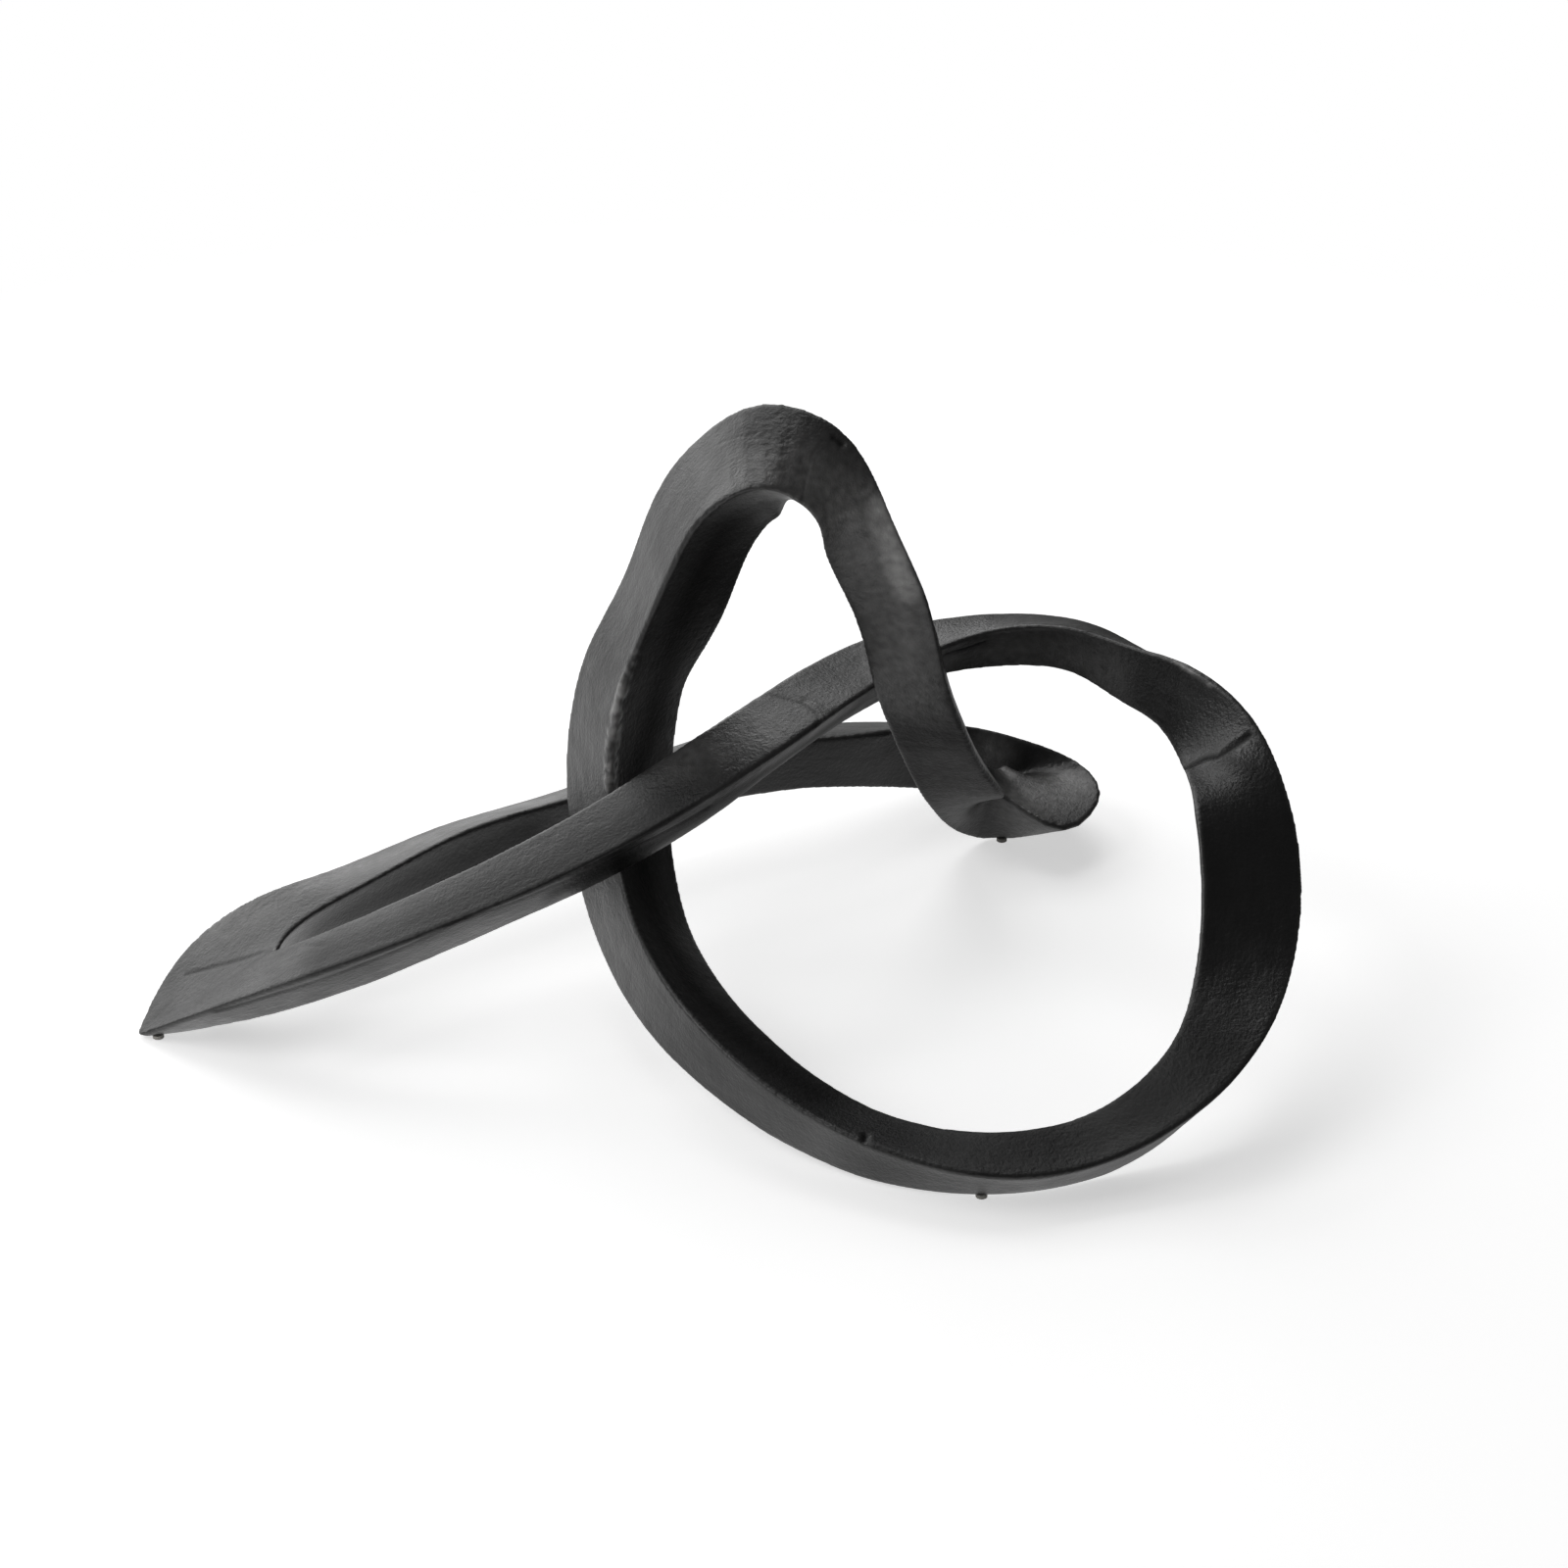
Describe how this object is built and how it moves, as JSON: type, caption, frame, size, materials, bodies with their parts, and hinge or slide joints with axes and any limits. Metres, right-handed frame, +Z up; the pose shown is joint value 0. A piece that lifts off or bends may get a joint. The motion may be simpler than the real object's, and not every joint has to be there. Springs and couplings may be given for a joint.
{
  "type": "metal knot sculpture",
  "caption": "Free-standing abstract knot: one faceted three-sided metal bar looped into a ring, an arch and a folded tip, satin black.",
  "frame": {"origin": "on the shelf, under the middle of the knot's bounding box", "axes": "+Z up, +X to the ring's side, -Y to the viewer who sees the arch behind the front arm"},
  "size_m": [0.3032, 0.2186, 0.1619],
  "materials": {
    "knot_finish": "satin black over rough cast aluminium",
    "dowel_steel": "turned steel",
    "pad_felt": "black felt"
  },
  "bodies": {
    "root": {"front_arm": "knot_finish", "ring_top": "knot_finish", "ring_right": "knot_finish", "ring_left": "knot_finish", "arch": "knot_finish", "falling_arm": "knot_finish", "back_arm": "knot_finish", "weld_arm_back": "knot_finish", "weld_shoulder": "knot_finish", "weld_ring_low_left": "knot_finish", "weld_strand_middle": "knot_finish", "weld_arch_right": "knot_finish", "weld_fall_foot": "knot_finish", "weld_tip": "knot_finish", "dowel_arm_back": "dowel_steel", "dowel_shoulder": "dowel_steel", "dowel_ring_low_left": "dowel_steel", "dowel_strand_middle": "dowel_steel", "dowel_arch_right": "dowel_steel", "dowel_fall_foot": "dowel_steel", "pad_left": "pad_felt", "pad_front": "pad_felt", "pad_back": "pad_felt"}
  },
  "joints": []
}
